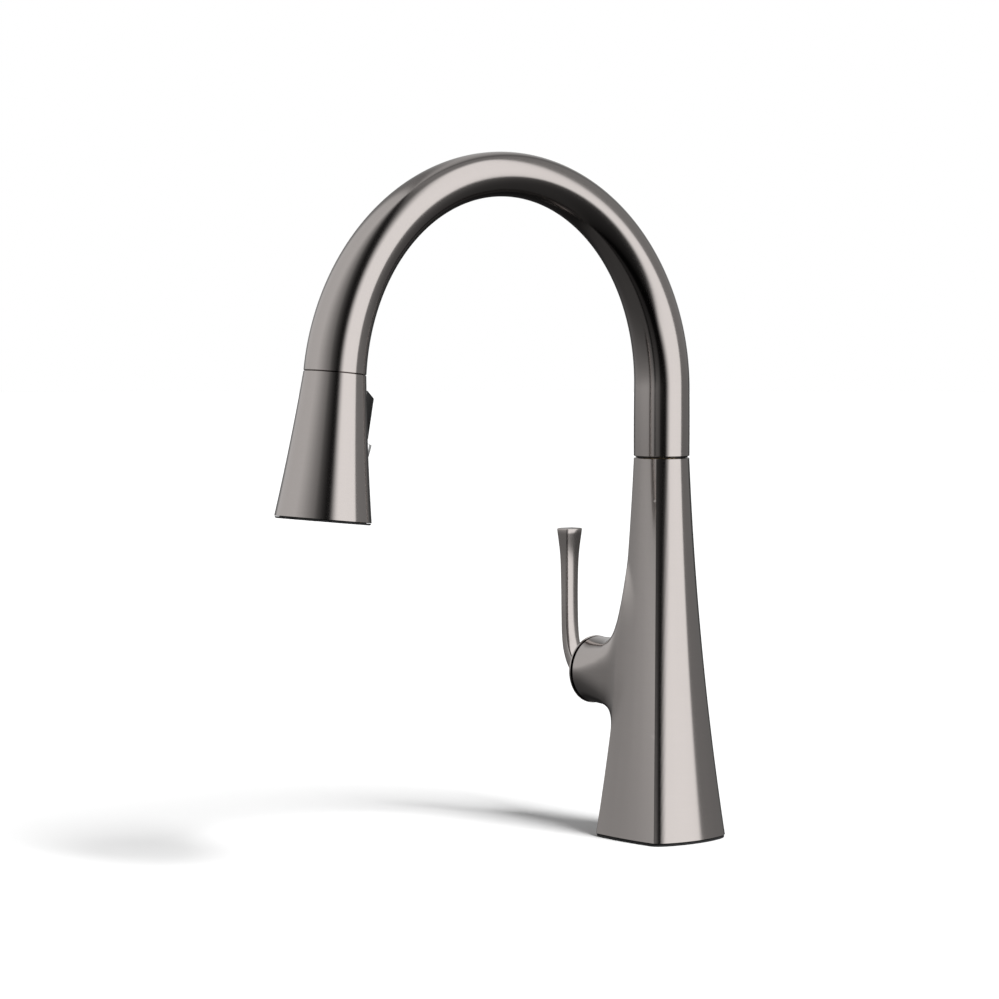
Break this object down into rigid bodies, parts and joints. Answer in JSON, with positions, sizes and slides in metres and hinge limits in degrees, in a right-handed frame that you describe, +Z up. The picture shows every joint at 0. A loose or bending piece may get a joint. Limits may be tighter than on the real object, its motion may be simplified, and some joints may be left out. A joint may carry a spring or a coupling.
{
  "type": "pull-down kitchen faucet",
  "caption": "Single-lever kitchen mixer tap with a square-to-round body, a swivelling gooseneck spout and a pull-down spray head on a magnetic dock.",
  "frame": {"origin": "centre of the base on the worktop's upper surface, over the middle of the deck hole", "axes": "+Z up, the spout reaches towards -Y, the side lever is on the -X side"},
  "size_m": [0.1166, 0.2987, 0.4654],
  "materials": {
    "titanium": "dark warm grey vapour-deposited titanium, finely brushed, semi-gloss",
    "brass": "machined",
    "steel": "stainless, machined",
    "chrome": "bright plated",
    "magnet": "nickel-plated magnet",
    "black_plastic": "moulded, satin",
    "white_plastic": "moulded, satin",
    "black_rubber": "moulded",
    "grey_silicone": "moulded silicone",
    "ceramic": "lapped alumina",
    "hose_braid": "braided nylon over a rubber core"
  },
  "bodies": {
    "faucet_body": {"body_shell": "titanium", "base_plate": "steel", "base_gasket": "black_rubber", "mounting_shank": "brass", "deck_washer": "black_rubber", "clamp_washer": "steel", "mounting_nut": "brass", "jack_screw_front": "steel", "jack_screw_back": "steel", "valve_block": "brass", "inlet_nipple_hot": "brass", "inlet_nipple_cold": "brass", "outlet_nipple": "brass", "cartridge_housing": "white_plastic", "cartridge_cap": "white_plastic", "ceramic_disc_fixed": "ceramic", "cartridge_seal": "black_rubber", "cartridge_nut": "brass", "bonnet": "black_plastic", "swivel_post": "brass", "swivel_seal_upper": "black_rubber", "swivel_seal_lower": "black_rubber", "swivel_washer": "black_plastic", "hose_lower": "hose_braid", "hose_tail_fitting": "brass"},
    "valve_rotor": {"cartridge_rotor": "white_plastic", "stem_pin": "steel"},
    "valve_disc": {"ceramic_disc_moving": "ceramic", "disc_carrier": "white_plastic"},
    "handle": {"lever_handle": "titanium", "cartridge_stem": "brass", "handle_set_screw": "steel"},
    "spout": {"spout_tube": "titanium", "spout_sleeve": "brass", "swivel_clip": "steel", "dock_magnet": "magnet", "dock_guide": "black_plastic", "hose_upper": "hose_braid"},
    "hose_end": {"ball_fitting": "brass", "hose_nut": "brass", "hose_ferrule": "steel"},
    "spray_head": {"head_shell": "titanium", "head_spigot": "black_plastic", "strike_plate": "steel", "ball_washer": "black_rubber", "filter_screen": "steel", "check_valve": "white_plastic", "waterway": "black_plastic", "spray_manifold": "black_plastic", "nozzle_pad": "grey_silicone", "spray_face": "black_plastic", "face_ring": "black_rubber", "aerator": "white_plastic", "button_bezel": "chrome", "rocker_pin": "steel", "push_spring": "steel"},
    "rocker": {"rocker_button": "black_plastic"},
    "diverter": {"diverter_spool": "white_plastic"},
    "push": {"push_button": "chrome"}
  },
  "joints": [
    {"name": "spout_swivel", "type": "hinge", "parent": "faucet_body", "child": "spout", "pos_m": [0, 0, 0.2196], "axis": [0, 0, 1], "continuous": true},
    {"name": "spray_pull", "type": "slide", "parent": "spout", "child": "hose_end", "axis": [0, -0.1063, -0.9943], "range_m": [0, 0.45]},
    {"name": "head_swivel", "type": "hinge", "parent": "hose_end", "child": "spray_head", "pos_m": [0, -0.23558, 0.26945], "axis": [0, -0.1063, -0.9943], "continuous": true},
    {"name": "rocker_tilt", "type": "hinge", "parent": "spray_head", "child": "rocker", "pos_m": [0, -0.22196, 0.24788], "axis": [1, 0, 0], "range_deg": [0, 8]},
    {"name": "diverter_slide", "type": "slide", "parent": "spray_head", "child": "diverter", "axis": [0, -0.1063, -0.9943], "range_m": [0, 0.0012]},
    {"name": "push_press", "type": "slide", "parent": "spray_head", "child": "push", "axis": [0, -0.9943, 0.1063], "range_m": [0, 0.0015], "stiffness_N_per_m": 1500, "springref_m": -0.001},
    {"name": "handle_temperature", "type": "hinge", "parent": "faucet_body", "child": "valve_rotor", "pos_m": [-0.033, 0, 0.0922], "axis": [1, 0, 0], "range_deg": [-45, 45]},
    {"name": "handle_flow", "type": "hinge", "parent": "valve_rotor", "child": "handle", "pos_m": [-0.033, 0, 0.0922], "axis": [0, -1, 0], "range_deg": [0, 18]},
    {"name": "disc_slide", "type": "slide", "parent": "valve_rotor", "child": "valve_disc", "axis": [0, 0, 1], "range_m": [0, 0.0042]}
  ],
  "couplings": [
    {"joint": "disc_slide", "follows": "handle_flow", "m_per_rad": 0.0125},
    {"joint": "diverter_slide", "follows": "rocker_tilt", "m_per_rad": 0.0075}
  ]
}
